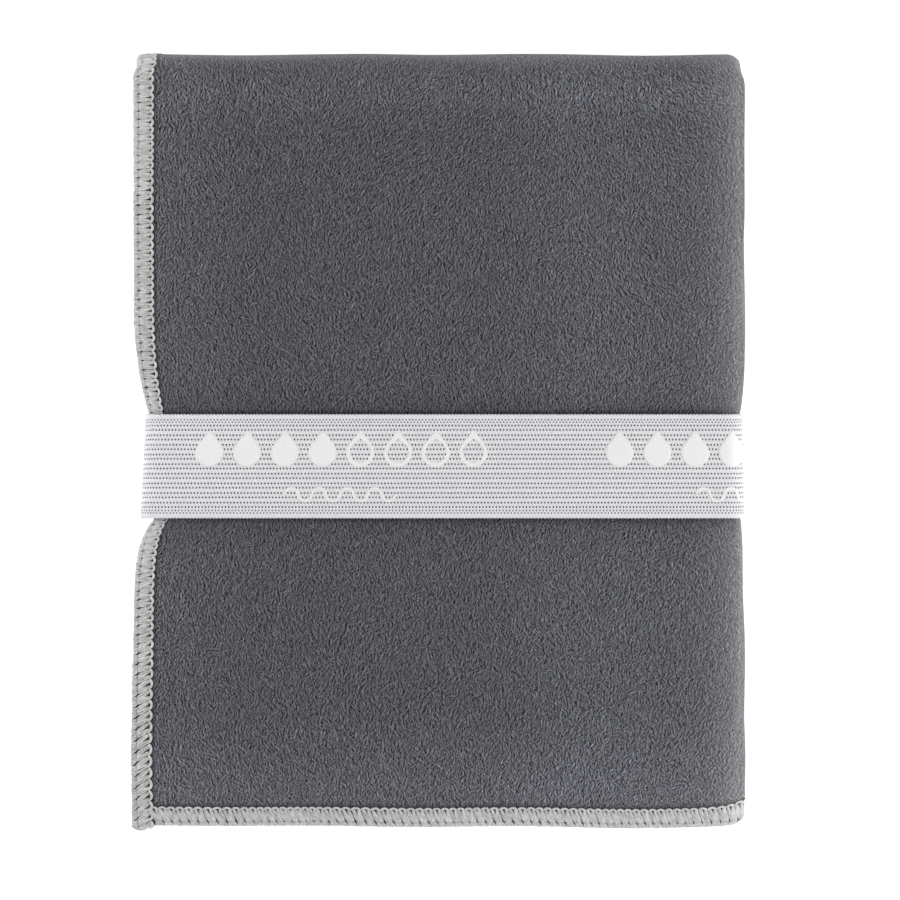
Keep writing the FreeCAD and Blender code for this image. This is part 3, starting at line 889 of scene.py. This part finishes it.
def nap_tone_and_painted_light(n, flat, u, v, fold_highlight_mask):
    """Brightness of the nap by place: painted highlights on the folds, along the hems and towards +X, painted
    shade before the fold at +X, past the fold at +Y, beside the band and beside the hem threads, and faint
    clouds of tone.
    """
    edge_u = n.math("MINIMUM", u, n.minus(WIDTH, u))
    edge_v = n.math("DIVIDE", n.math("MINIMUM", v, n.minus(LENGTH, v)), END_WIDER)

    def line_at(value, middle, width, height):
        """Soft line of the given height where value is middle, falling off over width."""
        off = n.math("DIVIDE", n.minus(value, middle), width)
        return n.times(n.math("EXPONENT", n.times(n.times(off, off), -1.0)), height)

    off_band = n.minus(n.math("ABSOLUTE", n.minus(v, BAND_Y - FRONT)), BAND_HALF)
    band_shadow_depth = n.spread(u, 60 * MM, 130 * MM, -0.08, -0.18)
    painted_light_and_cloud_lifts = [
        n.times(fold_highlight_mask, 0.5),  # painted highlight on the fold at +X
        line_at(u, RIGHT - LEFT - 16 * MM, 10 * MM, -0.06),  # painted shade before it
        line_at(v, LONG_LEAF, 5 * MM, 0.22),  # painted highlight on the fold at +Y
        line_at(v, LONG_LEAF + 8.5 * MM, 4.5 * MM, -0.12),  # painted shade past it
        line_at(off_band, 0.0, 6 * MM, -0.16),  # painted shade on both sides of the band
        line_at(v, BAND_Y + BAND_HALF + 0.5 * MM - FRONT, 2.5 * MM, band_shadow_depth),  # painted shadow line just above it
        n.spread(edge_u, 5 * MM, 32 * MM, 0.19, 0.0),  # painted light along the side hems
        n.spread(edge_v, 10 * MM, 29 * MM, 0.26, 0.0),  # painted light along the end hems
        n.spread(u, 100 * MM, 126 * MM, 0.0, 0.16),  # painted light towards +X
        n.spread(n.noise(flat, 42, 3.0, 0.6), 0.3, 0.7, -0.03, 0.03),  # clouds
    ]
    bright = 1.0
    for lift in painted_light_and_cloud_lifts:
        bright = n.math("ADD", lift, bright)
    # painted shade in the trench beside the hem threads
    hem_trench_shade = n.spread(n.math("MINIMUM", edge_u, edge_v), HEM + 0.8 * MM, HEM + 2.0 * MM, 0.38, 1.0)
    return n.times(bright, hem_trench_shade)


def microfibre():
    """Short suede nap, slightly cooler towards +X, with painted light and shade on the hairs and by place."""
    n = Nodes("microfibre")
    flat = n.uv()
    nap = nap_relief(n, flat)
    place = n.add("ShaderNodeSeparateXYZ", {0: flat})
    u, v = n.math("FRACT", place.outputs[0]), place.outputs[1]
    # closeness to the first fold across, where a painted highlight falls
    fold_highlight_mask = n.math("DIVIDE", n.math("ABSOLUTE", n.minus(u, FIRST_FOLD)), -6 * MM)
    fold_highlight_mask = n.math("EXPONENT", fold_highlight_mask)
    tips = n.mix(n.spread(u, 45 * MM, 105 * MM), srgb(158, 156, 166), srgb(158, 160, 169))
    colour = n.mix(nap, srgb(5, 5, 8), tips)
    colour = n.add("ShaderNodeVectorMath", {0: colour, 3: nap_tone_and_painted_light(n, flat, u, v, fold_highlight_mask)},
                   operation="SCALE").outputs[0]
    # painted sheen on the fold at +X: the colour turns paler and greyer there
    colour = n.mix(n.times(fold_highlight_mask, 0.5), colour, srgb(140, 140, 138))
    n.bump(nap, 0.3 * MM, 0.7)
    return n.finish(Base_Color=colour, Roughness=0.95, Specular_IOR_Level=0.1,
                    Sheen_Weight=0.5, Sheen_Roughness=0.5, Sheen_Tint=srgb(200, 200, 205))


def thread(name, dark, light):
    """Loose multi-filament thread: fine lines along it."""
    n = Nodes(name)
    flat = n.uv()
    filament = n.noise(n.turned(flat, 0, (0.12, 1, 1)), 9000, 2.0, 0.6)
    tone = n.noise(n.turned(flat, 0.4, (1, 1, 1)), 500, 1.0)
    shade = n.math("MULTIPLY_ADD", tone, 0.5, n.times(filament, 0.6))
    n.bump(filament, 0.08 * MM, 0.7)
    return n.finish(Base_Color=n.mix(n.spread(shade, 0.35, 0.75), dark, light), Roughness=0.62,
                    Specular_IOR_Level=0.3, Sheen_Weight=0.1, Sheen_Roughness=0.4)


def woven_elastic():
    """Woven elastic, in mm: staggered pairs of rows of small holes, with a fine slanting rib."""
    n = Nodes("woven_elastic")
    flat = n.add("ShaderNodeSeparateXYZ", {0: n.uv()})
    cell, t = flat.outputs[0], flat.outputs[1]

    def holes(place, gap, size, off, reach):
        """Two staggered rows of holes, gap apart either side of place 0, as far as off is under reach."""
        stagger = n.times(n.math("GREATER_THAN", place, 0.0), 0.5)
        from_hole = n.minus(n.math("FRACT", n.math("ADD", n.math("ADD", cell, 0.5), stagger)), 0.5)
        ds = n.times(from_hole, HOLE_PITCH / MM)
        dt = n.minus(n.math("ABSOLUTE", place), gap / 2)
        apart = n.math("ADD", n.math("ABSOLUTE", ds), n.times(n.math("ABSOLUTE", dt), 0.8))
        return n.times(n.spread(apart, size * 0.45, size, 1.0, 0.0), n.math("LESS_THAN", off, reach))

    pair, (inner, outer) = ROW_PAIR / MM, [row / MM for row in EDGE_ROWS]
    in_pair = n.minus(n.math("WRAP", n.math("ADD", t, pair / 2), pair, 0.0), pair / 2)
    far_out = n.math("ABSOLUTE", t)
    main_rows = holes(in_pair, ROW_GAP / MM, 0.37, far_out, inner - 0.45)
    from_edge_rows = n.minus(far_out, (inner + outer) / 2)
    edge_rows = holes(from_edge_rows, outer - inner, 0.32, n.math("ABSOLUTE", from_edge_rows), 0.75)
    hole = n.math("MAXIMUM", main_rows, edge_rows)
    rib = n.math("SINE", n.times(n.math("MULTIPLY_ADD", cell, 2.0, t), 2 * math.pi))
    # the slanting rib is woven; its paler and darker stripes are painted light and shade on the yarns
    pale = n.mix(n.spread(rib, -1.0, 1.0), srgb(210, 209, 213), srgb(246, 245, 248))
    height = n.math("MULTIPLY_ADD", rib, 0.25, n.times(hole, -1.0))
    n.bump(height, 0.08 * MM, 0.8)
    # the holes are painted near black, for the dark towel that shows through them and the shade inside them
    return n.finish(Base_Color=n.mix(n.times(hole, 0.95), pale, srgb(24, 24, 28)), Roughness=0.75,
                    Specular_IOR_Level=0.25, Sheen_Weight=0.08, Sheen_Roughness=0.4)


def print_film():
    """Matt ink with a fine grain."""
    n = Nodes("print_film")
    place = n.add("ShaderNodeTexCoord").outputs["Object"]
    grain = n.noise(place, 2600, 2.0)
    n.bump(grain, 0.03 * MM, 0.6)
    return n.finish(Base_Color=n.mix(n.spread(grain, 0.3, 0.7), srgb(233, 233, 233), srgb(243, 243, 243)),
                    Roughness=0.55, Specular_IOR_Level=0.3)


def floor_material():
    """Plain white, lit a little from within so that it stays even."""
    n = Nodes("studio_floor")
    return n.finish(Base_Color=(0.75, 0.75, 0.75, 1), Roughness=0.9, Specular_IOR_Level=0.0,
                    Emission_Color=(1, 1, 1, 1), Emission_Strength=0.7)


# -------- scene
VIEW_SPAN = 261.6 * MM  # width in view a little below the top of the pack
CAMERA_SHIFT = Vector((3.05 * MM, -2.3 * MM, 0))
LENS, SENSOR = 200, 36
SOFTBOXES = (  # name, place, size and power
    ("right_softbox", (0.5, -0.12, 0.24), 0.35, 1.85),
    ("left_softbox", (-0.45, 0, 0.24), 0.25, 1.1),
    ("back_softbox", (0, 0.55, 0.22), 0.3, 0.9),
    ("front_softbox", (0, -0.55, 0.22), 0.3, 0.5),
)
FLOOR_HALF = 3.0


def camera():
    """Long lens straight above the pack."""
    data = bpy.data.cameras.new("camera")
    data.lens, data.sensor_width = LENS, SENSOR
    cam = bpy.data.objects.new("camera", data)
    height = VIEW_SPAN / 2 / (SENSOR / 2 / LENS)
    cam.location = CAMERA_SHIFT + Vector((0, 0, CLOTH_TOP * 0.6 + height))
    data.clip_start, data.clip_end = 0.1, 20
    bpy.context.scene.collection.objects.link(cam)
    bpy.context.scene.camera = cam


def lamp(kind, name, place, **values):
    """Light that shines on the pack from a place, or from that direction."""
    data = bpy.data.lights.new(name, kind)
    for key, value in values.items():
        setattr(data, key, value)
    light = bpy.data.objects.new(name, data)
    light.location = place
    light.rotation_euler = Vector(place).to_track_quat("Z", "Y").to_euler()
    bpy.context.scene.collection.objects.link(light)


def studio():
    """Even white surroundings, a soft light from above, softboxes at the sides, and the floor."""
    scene = bpy.context.scene
    scene.view_settings.view_transform = "Standard"
    world = bpy.data.worlds.new("studio")
    world.use_nodes = True
    background = world.node_tree.nodes["Background"]
    background.inputs["Color"].default_value = (1, 1, 1, 1)
    background.inputs["Strength"].default_value = 0.24
    scene.world = world
    lamp("SUN", "overhead", (0.1, 0, 1), energy=0.6, angle=math.radians(50))
    for name, place, size, power in SOFTBOXES:
        lamp("AREA", name, place, size=size, energy=power)
    corners = FLOOR_HALF * np.array([(-1, -1, 0), (1, -1, 0), (1, 1, 0), (-1, 1, 0)])
    mesh_piece("floor", corners, [np.array([[0, 1, 2, 3]])], floor_material())


def towel(cloth):
    """The cloth in two meshes: what can lift with the top leaf, and the rest of the pack."""
    top = sheet_mesh("towel_top_sheet", across_stations(FINE), along_stations(0, SPLIT_V), cloth)
    rest = sheet_mesh("towel_folded_sheet", across_stations(COARSE), along_stations(SPLIT_V, LENGTH), cloth)
    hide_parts("cloth_top_leaf_held", "cloth_top_leaf_free", "cloth_back_fold_outer")
    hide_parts("cloth_base_leaf", "cloth_second_leaf", "cloth_third_leaf", "cloth_fourth_leaf",
                "cloth_fifth_leaf", "cloth_back_fold_middle", "cloth_back_fold_inner",
                "cloth_front_fold_outer", "cloth_front_fold_inner")
    return top, rest


def hems(materials):
    """Edge threads, split like the cloth. Returns those on the top sheet and those on the rest."""
    on_top, on_rest = [], []
    for seed, side in enumerate(("first_side", "second_side")):
        on_top += edge_threads(side, "_free", -OVERRUN, SPLIT_V, seed + 1, materials)
        on_rest += edge_threads(side, "", SPLIT_V, LENGTH + OVERRUN, seed + 3, materials)
    inside = HEM - 0.3 * MM
    on_top += edge_threads("top_end", "", inside, WIDTH - inside, 5, materials)
    on_rest += edge_threads("second_end", "", inside, WIDTH - inside, 6, materials)
    return on_top, on_rest


def main():
    camera()
    studio()
    cloth = microfibre()
    materials = {
        "looper": thread("looper_thread", srgb(152, 150, 150), srgb(228, 226, 226)),
        "needle": thread("needle_thread", srgb(176, 174, 174), srgb(224, 222, 222)),
    }
    top, rest = towel(cloth)
    on_top, on_rest = hems(materials)
    for piece in [top] + on_top:
        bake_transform(piece)
    for piece in [rest] + on_rest:
        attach(piece, "towel")

    band = band_mesh(woven_elastic())
    motif = print_mesh(print_film())
    seam = seam_mesh(materials["needle"])
    for piece, node, slot in ((band, "band_webbing", "band_elastic"), (motif, "band_print", "band_print"),
                              (seam, "band_seam_thread", "band_thread")):
        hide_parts(node)
        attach(piece, "band")


main()
